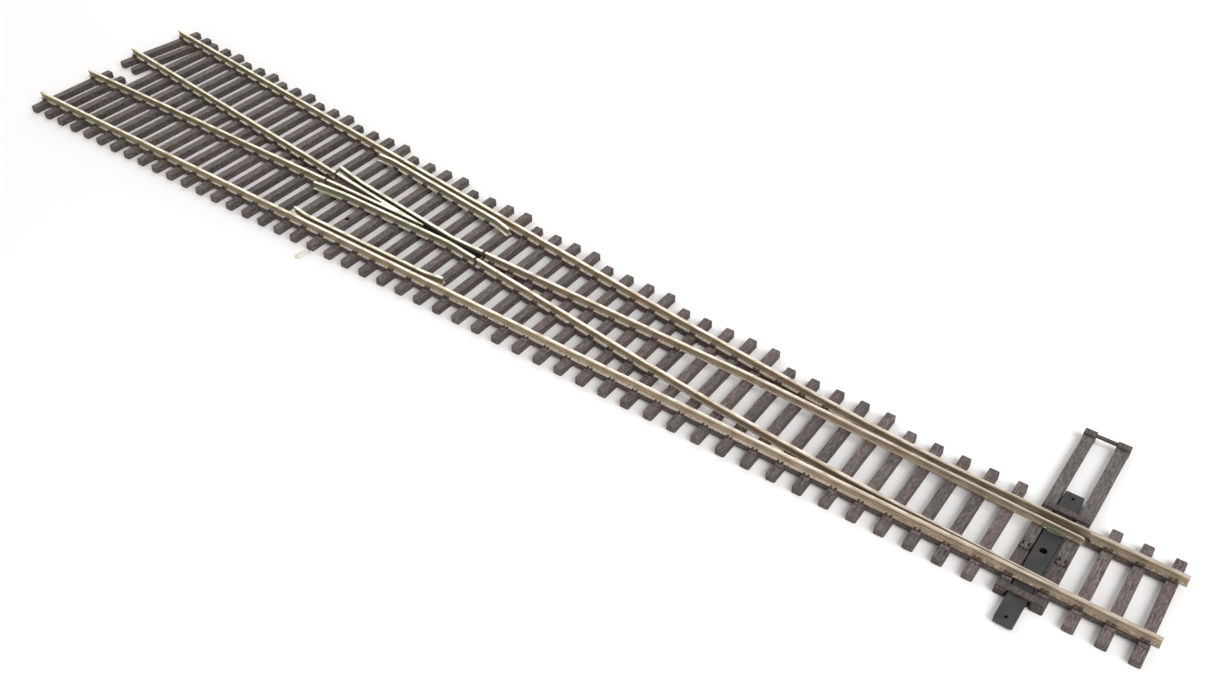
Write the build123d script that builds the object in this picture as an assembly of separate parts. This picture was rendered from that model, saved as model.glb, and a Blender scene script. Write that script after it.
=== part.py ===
from build123d import *
import math
import os

# HO-scale (1:87) right-hand model railway turnout with its throw bar and headblock ties.
# Frame: +X along the straight track from the points to the frog, +Y to the left, +Z up.
# Origin: on the track's centre line, 1.85 mm past the point tips, on the surface the ties rest on.
# All sizes are in millimetres.

os.makedirs("parts", exist_ok=True)

# Track standard
gauge = 16.5
frog_number = 8.0
lead = 177.8                     # point tips to theoretical frog point
rail_start_x = -21.6
rail_end_x = 321.3
stock_bend_x = 0.0               # where the curved stock rail leaves the straight
stock_bend_radius = 600.0        # head centre line of its first bend
stock_bend_angle = 5.71          # degrees turned there; a wider bend turns the rest
closure_radius = 1000.0          # head centre line of the curved closure and point rail
closure_tangent_x = 108.3        # where the curved closure rail runs straight into the frog

# Rail section
rail_height = 2.108
head_width = 0.90
head_corner = 0.08
head_depth = 0.56
web_width = 0.44
foot_width = 1.80
foot_edge = 0.20
foot_crown = 0.42
milled_foot_width = 0.90

# Ties
tie_pitch = 6.35
tie_width = 2.40
tie_height = 1.90
tie_chamfer = 0.16
tie_near_end = 13.9
tie_end_standard = 14.5
plate_height = 0.15
plate_length = 1.9
plate_width = 2.7
web_strip_width = 1.5
web_strip_low = 0.45
web_strip_high = 1.70
# Ties per length step and how far each step reaches to the right of the straight centre line
tie_steps = ((5, 15.9), (5, 18.5), (5, 22.3), (4, 25.3), (4, 28.2), (4, 31.5), (4, 34.7),
             (4, 37.8), (3, 40.2), (3, 42.4), (3, 44.6), (3, 46.9))
first_step_tie_x = 14.15
short_end_ties = 2

# Spikes
spike_width = 0.72
spike_height = 0.64
spike_lip = 0.16
spike_body = 0.34
spike_gap = 0.05
spike_reach = 0.30               # of the spike head over the rail foot
spike_spacing = 1.0              # between the two spikes on one side of a rail

# Headblock
headblock_tie_x = (0.22, 7.65)    # the wide tie under the point tips and its neighbour
headblock_tie_width = (2.84, 2.50)
headblock_far_end = -39.1
headblock_near_end = 13.55
headblock_block_length = 1.7
headblock_block_rise = 0.65
headblock_bar_inset = 0.35
headblock_bar_width = 0.85
headblock_bar_low = 1.75
headblock_bar_high = 2.35
strap_width = 1.55
strap_near_y = 12.4
strap_far_y = -12.72
strap_rise = 0.55
bridge_height = 0.35
seam_y = -0.85
tongue_shift = 0.0
tongue_length = 1.9
tongue_width = 1.0
tongue_hook = 1.9
tongue_hook_length = 0.9
seam_gap = 0.10

# Points and throw bar
point_tip_x = -1.85
flex_hinge_x = 78.0
flex_hinge_gap = 0.16
full_foot_end_x = 95.6
throw_distance = 2.03
throw_bar_x = 4.15
throw_bar_width = 4.0
throw_bar_low = 0.42
throw_bar_high = 1.80
throw_bar_near_end = 20.4
throw_bar_far_end = -19.15
throw_bar_corner = 0.35
actuator_hole_y = -0.5
actuator_hole_radius = 0.80
end_hole_radius = 0.40
end_hole_near_y = 19.1
end_hole_far_y = -17.5
planing_gap = 0.05
tip_thickness = 0.38
tip_bevel_length = 3.5
tip_corner = 0.5
left_planing_slope = 0.0238      # of the planed side against the straight track, point closed
right_planing_slope = 0.0085
notch_start_x = -2.0             # the stock rails are notched to take the point tips
left_notch_depth = 0.30
right_notch_depth = 0.37
left_notch_slope = 0.0107
stock_mill_start_x = -2.7
stock_mill_end_x = 53.0
clip_start_x = 1.9
clip_end_x = 6.6
clip_thickness = 0.20
clip_height = 1.05
clip_tab_length = 2.6
pin_radius = 0.40
pin_slot_length = 1.45
pin_slot_width = 0.92

# Frog and guard rails
flangeway = 1.10
toe_gap_x = 156.8
heel_gap_x = 214.5
rail_gap = 0.90
frog_tip_x = 177.8
wing_end_x = 216.2
wing_flare_length = 11.0
wing_flare = 0.85
guard_start_x = 158.1
guard_end_x = 211.5
guard_offset = 2.05
guard_flare_length = 5.0
guard_flare = 0.85
bend_radius = 14.0
filler_top = 0.90                # above the rail base
nose_length = 18.0               # solid nose between the frog point's two rails

# Fixing hole and wires
nail_hole_x = 198.45
nail_hole_y = -0.5
nail_hole_radius = 0.50
wire_radius = 0.20
wire_low_z = 0.21
groove_width = 0.60
groove_depth = 0.62
riser_hole_radius = 0.26
feeder_x = 197.55
feeder_loop_y = 18.0
feeder_loop_width = 1.3

# Derived layout
half_head = head_width / 2
half_foot = foot_width / 2
rail_y = gauge / 2 + half_head
frog_angle = 2 * math.atan(1 / (2 * frog_number))
slope = math.tan(frog_angle)
cosine = math.cos(frog_angle)
sine = math.sin(frog_angle)
frog_x = point_tip_x + lead
rail_base = tie_height + plate_height
rail_top = rail_base + rail_height
throw_angle = math.degrees(math.asin(throw_distance / (flex_hinge_x - throw_bar_x)))


def frog_gauge_y(x):
    """Gauge line of the diverging track's left rail beyond the curve."""
    return -gauge / 2 - slope * (x - frog_x)


def frog_left_y(x):
    """Head centre of the diverging track's left rail beyond the curve."""
    return frog_gauge_y(x) + half_head / cosine


def frog_right_y(x):
    """Head centre of the diverging track's right rail beyond the curve."""
    return frog_gauge_y(x) - (gauge + half_head) / cosine


# Curved stock rail: straight, first bend, wider second bend, straight along the diverging track
first_turn = math.radians(stock_bend_angle)
stock_centre = (stock_bend_x, -rail_y - stock_bend_radius)
first_end_x = stock_bend_x + stock_bend_radius * math.sin(first_turn)
first_end_y = stock_centre[1] + stock_bend_radius * math.cos(first_turn)
second_radius = (frog_right_y(first_end_x) - first_end_y) * cosine / (1 - math.cos(frog_angle - first_turn))
second_centre = (first_end_x - second_radius * math.sin(first_turn),
                 first_end_y - second_radius * math.cos(first_turn))
second_end_x = second_centre[0] + second_radius * sine

# Curved closure rail: the arc runs tangentially into the straight line through the frog
closure_centre = (closure_tangent_x - closure_radius * sine,
                  frog_left_y(closure_tangent_x) - closure_radius * cosine)


def right_stock_y(x):
    if x < stock_bend_x:
        return -rail_y
    if x < first_end_x:
        return stock_centre[1] + math.sqrt(stock_bend_radius ** 2 - (x - stock_centre[0]) ** 2)
    if x < second_end_x:
        return second_centre[1] + math.sqrt(second_radius ** 2 - (x - second_centre[0]) ** 2)
    return frog_right_y(x)


def left_closure_y(x):
    if x < closure_tangent_x:
        return closure_centre[1] + math.sqrt(closure_radius ** 2 - (x - closure_centre[0]) ** 2)
    return frog_left_y(x)


def arc_between(centre, radius, x_from, x_to):
    """Arc over the top of a large circle, between two x positions."""
    def at(x):
        return (x, centre[1] + math.sqrt(radius ** 2 - (x - centre[0]) ** 2), rail_base)
    return ThreePointArc(at(x_from), at((x_from + x_to) / 2), at(x_to))


def straight(x_from, y_from, x_to, y_to):
    return Line((x_from, y_from, rail_base), (x_to, y_to, rail_base))


def rail_profile(foot):
    """Flat-bottomed rail section standing on the local origin."""
    side = [
        (foot / 2, 0),
        (foot / 2, foot_edge),
        (web_width / 2, foot_crown if foot > head_width else foot_edge + 0.1),
        (web_width / 2, rail_height - head_depth),
        (half_head, rail_height - head_depth + 0.12),
        (half_head, rail_height - head_corner),
        (half_head - head_corner, rail_height),
    ]
    other = [(-u, v) for u, v in reversed(side)]
    return make_face(Polyline(*side, *other, close=True))


def sweep_rail(path, foot=foot_width):
    start = path @ 0
    tangent = path % 0
    plane = Plane(origin=start, x_dir=(-tangent.Y, tangent.X, 0), z_dir=tangent)
    return sweep(plane * rail_profile(foot), path=path)


def prism(points, z_low, z_high):
    face = make_face(Polyline(*[(x, y, z_low) for x, y in points], close=True))
    return extrude(face, amount=z_high - z_low, dir=(0, 0, 1))


def box(x_low, x_high, y_low, y_high, z_low, z_high):
    centre = ((x_low + x_high) / 2, (y_low + y_high) / 2, (z_low + z_high) / 2)
    return Pos(*centre) * Box(x_high - x_low, y_high - y_low, z_high - z_low)


def post(x, y, radius, z_low, z_high):
    return Pos(x, y, (z_low + z_high) / 2) * Cylinder(radius, z_high - z_low)


def save(shape, name):
    export_step(shape, "parts/" + name + ".step")


# Stock rails
left_stock = sweep_rail(straight(rail_start_x, rail_y, rail_end_x, rail_y))
diverging_end_x = rail_end_x - 0.2
diverging_end_y = frog_gauge_y(diverging_end_x) - gauge / 2 / cosine
right_end = (diverging_end_x - rail_y * sine, diverging_end_y - rail_y * cosine)
left_end = (diverging_end_x + rail_y * sine, diverging_end_y + rail_y * cosine)
stock_path = Wire([
    straight(rail_start_x, -rail_y, stock_bend_x, -rail_y),
    arc_between(stock_centre, stock_bend_radius, stock_bend_x, first_end_x),
    arc_between(second_centre, second_radius, first_end_x, second_end_x),
    straight(second_end_x, frog_right_y(second_end_x), right_end[0], right_end[1]),
])
right_stock = sweep_rail(stock_path)

# The foot is milled away on the gauge side where a point rail lies beside it
mill_low = rail_base - 0.5
mill_high = rail_base + foot_crown + 0.3
left_mill = prism([(stock_mill_start_x - 0.9, rail_y - half_foot - 0.5),
                   (stock_mill_start_x, rail_y - half_head),
                   (stock_mill_end_x, rail_y - half_head),
                   (stock_mill_end_x, rail_y - half_foot - 0.5)], mill_low, mill_high)
left_stock = left_stock - left_mill
right_mill = prism([(stock_mill_start_x - 1.0, -rail_y + half_foot + 0.6),
                    (stock_mill_start_x + 0.4, -rail_y - 3.0),
                    (stock_mill_end_x, -rail_y - 3.0),
                    (stock_mill_end_x, -rail_y + half_foot + 0.6)], mill_low, mill_high)
stock_face = Pos(stock_centre[0], stock_centre[1], rail_base) * Cylinder(
    stock_bend_radius + half_head, 6)
right_mill = right_mill - stock_face
right_stock = right_stock - right_mill


def notch(depth, slope_along, side):
    """Shallow full-height cut in a stock rail's gauge side that takes the closed point tip."""
    face = gauge / 2 + depth
    length = 40.0
    slant = 0.35
    cut = prism([(notch_start_x, side * face), (notch_start_x, side * (gauge / 2 - 2)),
                 (notch_start_x + length, side * (gauge / 2 - 2)),
                 (notch_start_x + length, side * (face - slope_along * length))],
                rail_base - 1, rail_top + 1)
    foot_cut = prism([(notch_start_x - slant, side * face), (notch_start_x - slant, side * (gauge / 2 - 2)),
                      (notch_start_x + 1, side * (gauge / 2 - 2)), (notch_start_x + 1, side * face)],
                     rail_base - 1, rail_base + rail_height - head_depth)
    return cut + foot_cut


left_stock = left_stock - notch(left_notch_depth, left_notch_slope, 1)
right_stock = right_stock - notch(right_notch_depth, -right_planing_slope, -1)
save(left_stock, "stock_rail_left")
save(right_stock, "stock_rail_right")

# Closure rails, fixed, with a full foot as far as the last spiked tie
toe_x = toe_gap_x - rail_gap / 2
hinge_fixed = flex_hinge_x + flex_hinge_gap / 2
hinge_moving = flex_hinge_x - flex_hinge_gap / 2
closure_full = Wire([
    arc_between(closure_centre, closure_radius, full_foot_end_x, closure_tangent_x),
    straight(closure_tangent_x, frog_left_y(closure_tangent_x), toe_x, frog_left_y(toe_x)),
])
left_closure = sweep_rail(closure_full) + sweep_rail(
    arc_between(closure_centre, closure_radius, hinge_fixed, full_foot_end_x), milled_foot_width)
right_closure = sweep_rail(straight(full_foot_end_x, -rail_y, toe_x, -rail_y)) + sweep_rail(
    straight(hinge_fixed, -rail_y, full_foot_end_x, -rail_y), milled_foot_width)
save(left_closure, "closure_rail_left")
save(right_closure, "closure_rail_right")

# Point rails, planed to lie against the stock rails when closed
left_point = sweep_rail(
    arc_between(closure_centre, closure_radius, point_tip_x, hinge_moving), milled_foot_width)
left_face_y = gauge / 2 + left_notch_depth - planing_gap
planed_length = 70.0
left_point = left_point - prism([
    (point_tip_x - 1, left_face_y + left_planing_slope),
    (point_tip_x + planed_length, left_face_y - left_planing_slope * planed_length),
    (point_tip_x + planed_length, left_face_y + 3),
    (point_tip_x - 1, left_face_y + 3),
], rail_base - 1, rail_top + 1)
left_tip_y = left_closure_y(point_tip_x)
left_point = left_point - prism([
    (point_tip_x - 0.1, left_face_y - tip_thickness),
    (point_tip_x - 0.1, left_tip_y - 2),
    (point_tip_x + tip_bevel_length, left_tip_y - 2),
    (point_tip_x + tip_bevel_length, left_closure_y(point_tip_x + tip_bevel_length) - half_head),
], rail_base + foot_crown, rail_top + 1)
right_point = sweep_rail(straight(point_tip_x, -rail_y, hinge_moving, -rail_y), milled_foot_width)
right_face_y = -gauge / 2 - right_notch_depth + planing_gap
right_point = right_point - prism([
    (point_tip_x - 1, right_face_y + right_planing_slope),
    (point_tip_x + planed_length, right_face_y - right_planing_slope * planed_length),
    (point_tip_x + planed_length, right_face_y - 3),
    (point_tip_x - 1, right_face_y - 3),
], rail_base - 1, rail_top + 1)


def tip_corner_cut(y):
    """Sloping cut over the top corner of a point tip."""
    corner = make_face(Polyline((point_tip_x - 0.1, y - 3, rail_top - tip_corner - 0.1),
                                (point_tip_x - 0.1, y - 3, rail_top + 0.1),
                                (point_tip_x + tip_corner + 0.1, y - 3, rail_top + 0.1), close=True))
    return extrude(corner, amount=6, dir=(0, 1, 0))


left_point = left_point - tip_corner_cut(left_tip_y)
right_point = right_point - tip_corner_cut(-rail_y)
open_turn = Pos(flex_hinge_x, -rail_y, 0) * Rot(0, 0, -throw_angle) * Pos(-flex_hinge_x, rail_y, 0)
right_point = open_turn * right_point
save(left_point, "point_rail_left")
save(right_point, "point_rail_right")


def clip_and_pin(side):
    """Sheet-metal shoe under a point rail, with a plate up its gauge side and a pin into the bar."""
    gauge_side = -1 if side == "left" else 1
    sole_low = throw_bar_high + 0.03
    sole_high = rail_base
    sole = box(throw_bar_x - clip_tab_length / 2, throw_bar_x + clip_tab_length / 2,
               -half_head, half_head + clip_thickness, sole_low, sole_high)
    plate_low = rail_base + 0.03
    plate = box(clip_start_x, clip_end_x, half_head, half_head + clip_thickness,
                plate_low, rail_base + clip_height)
    plate = fillet(plate.edges().filter_by(Axis.Y).group_by(Axis.Z)[-1], 0.35)
    skirt = box(throw_bar_x - clip_tab_length / 2, throw_bar_x + clip_tab_length / 2,
                half_head, half_head + clip_thickness, sole_low, plate_low + 0.1)
    clip = sole + plate + skirt
    clip = clip - post(throw_bar_x, 0, pin_radius, sole_low - 1, sole_high - 0.06)
    pin = post(throw_bar_x, 0, pin_radius, throw_bar_low + 0.1, sole_high - 0.06)
    if gauge_side < 0:
        clip = mirror(clip, about=Plane.XZ)
    if side == "left":
        tilt = math.degrees(math.atan2(left_closure_y(throw_bar_x + 2) - left_closure_y(throw_bar_x - 2), 4))
        place = Pos(throw_bar_x, left_closure_y(throw_bar_x), 0) * Rot(0, 0, tilt) * Pos(-throw_bar_x, 0, 0)
    else:
        place = open_turn * Pos(0, -rail_y, 0)
    return place * clip, place * pin


for side in ("left", "right"):
    clip, pin = clip_and_pin(side)
    save(clip, "point_clip_" + side)
    save(pin, "pivot_pin_" + side)

# Throw bar in its rest position: left point closed, right point open
left_pin_y = left_closure_y(throw_bar_x)
right_pin_y = -rail_y + throw_distance
bar = box(throw_bar_x - throw_bar_width / 2, throw_bar_x + throw_bar_width / 2,
          throw_bar_far_end, throw_bar_near_end, throw_bar_low, throw_bar_high)
bar = fillet(bar.edges().filter_by(Axis.Z), throw_bar_corner)
bar = chamfer(bar.edges().group_by(Axis.Z)[-1], 0.10)
bar = bar - post(throw_bar_x, actuator_hole_y, actuator_hole_radius, 0, 3)
for y in (end_hole_near_y, end_hole_far_y):
    bar = bar - post(throw_bar_x, y, end_hole_radius, 0, 3)
for y in (left_pin_y, right_pin_y):
    slot = Pos(throw_bar_x, y, 0) * extrude(SlotOverall(pin_slot_length, pin_slot_width), amount=3)
    bar = bar - slot
save(bar, "throw_bar")

# Frog: wing rails bend parallel to the frog point's two sides and flare at their far ends
wing_left_y = -gauge / 2 + flangeway + half_head
wing_toe_x = toe_gap_x + rail_gap / 2
knuckle_left_x = frog_x - (wing_left_y - half_head / cosine + gauge / 2) / slope
wing_shift = (flangeway + half_head) / cosine
knuckle_right_x = frog_x + (half_head - wing_shift) / slope


def bent_rail(points):
    path = FilletPolyline(*[(x, y, rail_base) for x, y in points], radius=bend_radius)
    return sweep_rail(path)


left_wing = bent_rail([
    (wing_toe_x, frog_left_y(wing_toe_x)),
    (knuckle_left_x, wing_left_y),
    (wing_end_x - wing_flare_length, wing_left_y),
    (wing_end_x, wing_left_y + wing_flare),
])
wing_flare_x = wing_end_x - wing_flare_length
right_wing = bent_rail([
    (wing_toe_x, -rail_y),
    (knuckle_right_x, -rail_y),
    (wing_flare_x, frog_gauge_y(wing_flare_x) - wing_shift),
    (wing_end_x, frog_gauge_y(wing_end_x) - wing_shift - wing_flare),
])
save(left_wing, "wing_rail_left")
save(right_wing, "wing_rail_right")

# Frog point: two rails joined in a V, trimmed to the gauge lines
vee_end_x = heel_gap_x - rail_gap / 2
vee = sweep_rail(straight(frog_tip_x - 4, -rail_y, vee_end_x, -rail_y)) + sweep_rail(
    straight(frog_tip_x - 4, frog_left_y(frog_tip_x - 4), vee_end_x, frog_left_y(vee_end_x)))
foot_spread = half_foot - half_head
vee = vee + box(frog_tip_x, frog_x + nose_length, frog_left_y(frog_x + nose_length), -rail_y,
                rail_base + 0.5, rail_top)
vee_foot = prism([
    (frog_tip_x, -gauge / 2 + foot_spread),
    (vee_end_x + 1, -gauge / 2 + foot_spread),
    (vee_end_x + 1, frog_gauge_y(vee_end_x + 1) - foot_spread),
    (frog_tip_x, frog_gauge_y(frog_tip_x) - foot_spread),
], rail_base - 1, rail_base + foot_crown)
vee_head = prism([
    (frog_tip_x, -gauge / 2),
    (vee_end_x + 1, -gauge / 2),
    (vee_end_x + 1, frog_gauge_y(vee_end_x + 1)),
    (frog_tip_x, frog_gauge_y(frog_tip_x)),
], rail_base + foot_crown, rail_top + 1)
vee = (vee & vee_foot) + (vee & vee_head)
save(vee, "frog_point")

# Insulating filler lying on the rail feet between the wings and inside the V
web_face = web_width / 2 + 0.03
filler_low = rail_base + foot_crown + 0.03
filler_high = rail_base + filler_top
fill_start_x = wing_toe_x + 0.3
fill_end_x = heel_gap_x - rail_gap / 2 - 0.3
filler = prism([
    (fill_start_x, frog_left_y(fill_start_x) - web_face - 0.1),
    (knuckle_left_x, wing_left_y - web_face - 0.1),
    (fill_end_x - 4, wing_left_y - web_face - 0.1),
    (fill_end_x - 4, frog_gauge_y(fill_end_x - 4) - wing_shift + web_face + 0.1),
    (knuckle_right_x, -rail_y + web_face + 0.1),
    (fill_start_x, -rail_y + web_face + 0.1),
], filler_low, filler_high)
vee_clear = prism([
    (frog_tip_x - 0.05, -gauge / 2 + 0.02),
    (vee_end_x + 1, -gauge / 2 + 0.02),
    (vee_end_x + 1, frog_gauge_y(vee_end_x + 1) - 0.02),
    (frog_tip_x - 0.05, frog_gauge_y(frog_tip_x) - 0.02),
], filler_low - 1, filler_high + 1)
inner_start_x = frog_x + nose_length + 0.3
vee_inner = prism([
    (inner_start_x, -rail_y - web_face),
    (fill_end_x, -rail_y - web_face),
    (fill_end_x, frog_left_y(fill_end_x) + web_face),
    (inner_start_x, frog_left_y(inner_start_x) + web_face),
], filler_low, filler_high)
filler = filler - vee_clear
save(Compound(children=list(filler.solids()) + list(vee_inner.solids())), "frog_filler")

# Exit rails beyond the frog
exit_x = heel_gap_x + rail_gap / 2
straight_exit = sweep_rail(straight(exit_x, -rail_y, rail_end_x, -rail_y))
diverging_exit = sweep_rail(straight(exit_x, frog_left_y(exit_x), left_end[0], left_end[1]))
save(straight_exit, "exit_rail_straight")
save(diverging_exit, "exit_rail_diverging")

# Guard rails beside both stock rails
left_guard_y = rail_y - guard_offset
left_guard = bent_rail([
    (guard_start_x, left_guard_y - guard_flare),
    (guard_start_x + guard_flare_length, left_guard_y),
    (guard_end_x - guard_flare_length, left_guard_y),
    (guard_end_x, left_guard_y - guard_flare),
])
guard_shift = guard_offset / cosine
right_guard = bent_rail([
    (guard_start_x, frog_right_y(guard_start_x) + guard_shift + guard_flare),
    (guard_start_x + guard_flare_length, frog_right_y(guard_start_x + guard_flare_length) + guard_shift),
    (guard_end_x - guard_flare_length, frog_right_y(guard_end_x - guard_flare_length) + guard_shift),
    (guard_end_x, frog_right_y(guard_end_x) + guard_shift + guard_flare),
])
save(left_guard, "guard_rail_left")
save(right_guard, "guard_rail_right")

# Insulating plugs in the four rail gaps around the frog
plug_length = rail_gap - 0.04
plug_face = offset(rail_profile(foot_width), amount=-0.03)
plug = extrude(Plane(origin=(0, 0, 0), x_dir=(0, 1, 0), z_dir=(1, 0, 0)) * plug_face, amount=plug_length / 2,
               both=True)
plugs = []
for gap_x in (toe_gap_x, heel_gap_x):
    plugs.append(Pos(gap_x, -rail_y, rail_base) * plug)
    plugs.append(Pos(gap_x, frog_left_y(gap_x), rail_base)
                 * Rot(0, 0, -math.degrees(frog_angle)) * plug)
save(Compound(children=[p.solids()[0] for p in plugs]), "gap_insulators")


# Ties
def make_tie(x, y_right, y_left, angle=0.0, centre_y=0.0, width=tie_width):
    block = Pos(0, (y_right + y_left) / 2, tie_height / 2) * Box(width, y_left - y_right, tie_height)
    block = chamfer(block.edges().group_by(Axis.Z)[-1], tie_chamfer)
    return Pos(x, centre_y, 0) * Rot(0, 0, angle) * block


tie_list = []                    # (x, right end, left end) of every tie across the straight track
for number in (1, 2, 3):
    tie_list.append((-number * tie_pitch, -tie_end_standard, tie_end_standard - 0.1))
x = first_step_tie_x
for count, reach in tie_steps:
    for _ in range(count):
        tie_list.append((x, -reach, tie_near_end))
        x += tie_pitch
end_tie_x = []
for _ in range(short_end_ties):
    tie_list.append((x, -tie_end_standard, tie_near_end))
    end_tie_x.append(x)
    x += tie_pitch
ties = [make_tie(*t) for t in tie_list]


def diverging_centre_y(x):
    return frog_gauge_y(x) - gauge / 2 / cosine


end_turn = -math.degrees(frog_angle)
for tie_x in end_tie_x:
    ties.append(make_tie(tie_x, -tie_end_standard, tie_end_standard, end_turn, diverging_centre_y(tie_x)))

# Near halves of the two headblock ties belong to the same moulding
tongue_end = seam_y + tongue_length


def tongue(tie_x, grow):
    """Hooked tongue that the long headblock piece pushes into the short stub."""
    middle = tie_x + tongue_shift
    neck = box(middle - tongue_width / 2 - grow, middle + tongue_width / 2 + grow,
               seam_y - 0.6, tongue_end + grow, -1, tie_height + 1)
    hook = box(middle - tongue_hook / 2 - grow, middle + tongue_hook / 2 + grow,
               tongue_end - tongue_hook_length - grow, tongue_end + grow, -1, tie_height + 1)
    return neck + hook


near_stubs = []
for tie_x, width in zip(headblock_tie_x, headblock_tie_width):
    stub = make_tie(tie_x, seam_y, headblock_near_end, width=width)
    near_stubs.append(stub - tongue(tie_x, seam_gap))
bay_low_x = headblock_tie_x[0] - headblock_tie_width[0] / 2
bay_high_x = headblock_tie_x[1] + headblock_tie_width[1] / 2


def strap(y):
    top = box(bay_low_x + 0.1, bay_high_x - 0.1, y - strap_width / 2, y + strap_width / 2,
              throw_bar_high + 0.06, tie_height + strap_rise)
    top = chamfer(top.edges().group_by(Axis.Z)[-1], 0.12)
    bridge = box(bay_low_x + 0.3, bay_high_x - 0.3, y - strap_width / 2, y + strap_width / 2,
                 0, bridge_height)
    return [top, bridge]


def spikes(x, y, sides, angle=0.0, foot=half_foot):
    """Moulded tie plate and spike heads holding one rail foot at one tie."""
    pieces = [Pos(0, 0, tie_height + plate_height / 2 - 0.05)
              * Box(plate_length, plate_width, plate_height + 0.1)]
    for side_sign in sides:
        stem = box(-spike_width / 2, spike_width / 2, foot + spike_gap, foot + spike_gap + spike_body,
                   tie_height - 0.1, tie_height + spike_height)
        lip = box(-spike_width / 2, spike_width / 2, foot - spike_reach, foot + spike_gap + spike_body,
                  tie_height + spike_height - spike_lip, tie_height + spike_height)
        spike = stem + lip
        if side_sign < 0:
            spike = mirror(spike, about=Plane.XZ)
        pieces.append(Pos(spike_spacing / 2, 0, 0) * spike)
        pieces.append(Pos(-spike_spacing / 2, 0, 0) * spike)
    whole = pieces[0] + pieces[1:] if len(pieces) > 1 else pieces[0]
    return Pos(x, y, 0) * Rot(0, 0, angle) * whole


def heading(line, x):
    return math.degrees(math.atan2(line(x + 1) - line(x - 1), 2))


fastenings = []
far_stock_fastenings = []
all_tie_x = sorted([t[0] for t in tie_list] + list(headblock_tie_x))
last_straight_x = max(end_tie_x)
for tie_x in all_tie_x:
    beside_point = stock_mill_start_x - 1.2 < tie_x < stock_mill_end_x
    on_end = tie_x in end_tie_x
    guarded = guard_start_x - 1 < tie_x < guard_end_x + 1
    outer_only = beside_point or guarded
    fastenings.append(spikes(tie_x, rail_y, (1,) if outer_only else (1, -1)))
    right = spikes(tie_x, right_stock_y(tie_x), (-1,) if outer_only else (1, -1),
                   heading(right_stock_y, tie_x))
    if tie_x in headblock_tie_x:
        far_stock_fastenings.append(right)
    elif not on_end:
        fastenings.append(right)
    guard_held = guard_start_x + guard_flare_length < tie_x < guard_end_x - guard_flare_length
    if guard_held:
        fastenings.append(spikes(tie_x, left_guard_y, (-1,)))
        fastenings.append(spikes(tie_x, frog_right_y(tie_x) + guard_shift, (1,), end_turn))
    if tie_x < full_foot_end_x:
        continue
    in_frog = wing_toe_x < tie_x < vee_end_x
    if in_frog:
        if tie_x < knuckle_left_x:
            fastenings.append(spikes(tie_x, frog_left_y(tie_x), (1,), end_turn))
            fastenings.append(spikes(tie_x, -rail_y, (-1,)))
        elif tie_x < wing_flare_x:
            fastenings.append(spikes(tie_x, wing_left_y, (1,)))
            fastenings.append(spikes(tie_x, frog_gauge_y(tie_x) - wing_shift, (-1,), end_turn))
    else:
        fastenings.append(spikes(tie_x, -rail_y, (1, -1)))
        if not on_end:
            fastenings.append(spikes(tie_x, left_closure_y(tie_x), (1, -1), heading(left_closure_y, tie_x)))
for tie_x in end_tie_x:
    for offset_y in (rail_y, -rail_y):
        foot_x = tie_x + offset_y * sine
        foot_y = diverging_centre_y(tie_x) + offset_y * cosine
        fastenings.append(spikes(foot_x, foot_y, (1, -1), end_turn))

# Slide plates carry the point rails where they move
for tie_x in all_tie_x:
    if headblock_tie_x[1] + 1 < tie_x < full_foot_end_x:
        mid_left = left_closure_y(tie_x) - 0.6
        mid_right = -rail_y + 0.7
        slide = Box(1.4, 3.2, 0.2)
        fastenings.append(Pos(tie_x, mid_left, tie_height + 0.02) * slide)
        fastenings.append(Pos(tie_x, mid_right, tie_height + 0.02) * slide)


def web_strip(path):
    start = path @ 0
    tangent = path % 0
    plane = Plane(origin=start, x_dir=(-tangent.Y, tangent.X, 0), z_dir=tangent)
    mid = (web_strip_low + web_strip_high) / 2 - rail_base
    return sweep(plane * Pos(0, mid) * Rectangle(web_strip_width, web_strip_high - web_strip_low), path=path)


last_x = last_straight_x
first_web = full_foot_end_x + 0.5
webs = [
    web_strip(straight(-3 * tie_pitch, rail_y, headblock_tie_x[0], rail_y)),
    web_strip(straight(headblock_tie_x[1], rail_y, last_x, rail_y)),
    web_strip(straight(-3 * tie_pitch, -rail_y, bay_low_x - seam_gap, -rail_y)),
    web_strip(Wire([
        arc_between(stock_centre, stock_bend_radius, first_step_tie_x, first_end_x),
        arc_between(second_centre, second_radius, first_end_x, second_end_x),
        straight(second_end_x, frog_right_y(second_end_x), last_x, frog_right_y(last_x)),
    ])),
    web_strip(straight(first_web, -rail_y, last_x, -rail_y)),
    web_strip(Wire([
        arc_between(closure_centre, closure_radius, first_web, closure_tangent_x),
        straight(closure_tangent_x, frog_left_y(closure_tangent_x), last_x, frog_left_y(last_x)),
    ])),
]

# Grooves and riser holes for the wires that run hidden under the ties
jumper_toe_x = first_step_tie_x + 17 * tie_pitch
jumper_heel_left_x = first_step_tie_x + 37 * tie_pitch
jumper_heel_right_x = first_step_tie_x + 39 * tie_pitch
jumpers = {
    "jumper_toe_left": (jumper_toe_x, left_closure_y(jumper_toe_x), rail_y),
    "jumper_toe_right": (jumper_toe_x, right_stock_y(jumper_toe_x), -rail_y),
    "jumper_heel_left": (jumper_heel_left_x, frog_left_y(jumper_heel_left_x), rail_y),
    "jumper_heel_right": (jumper_heel_right_x, frog_right_y(jumper_heel_right_x), -rail_y),
}
cuts = []
for wire_x, y_low, y_high in jumpers.values():
    cuts.append(box(wire_x - groove_width / 2, wire_x + groove_width / 2,
                    y_low - groove_width / 2, y_high + groove_width / 2, -1, groove_depth))
    for y in (y_low, y_high):
        cuts.append(post(wire_x, y, riser_hole_radius, 0, rail_base + 1))
feeder_y = wing_left_y
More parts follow.
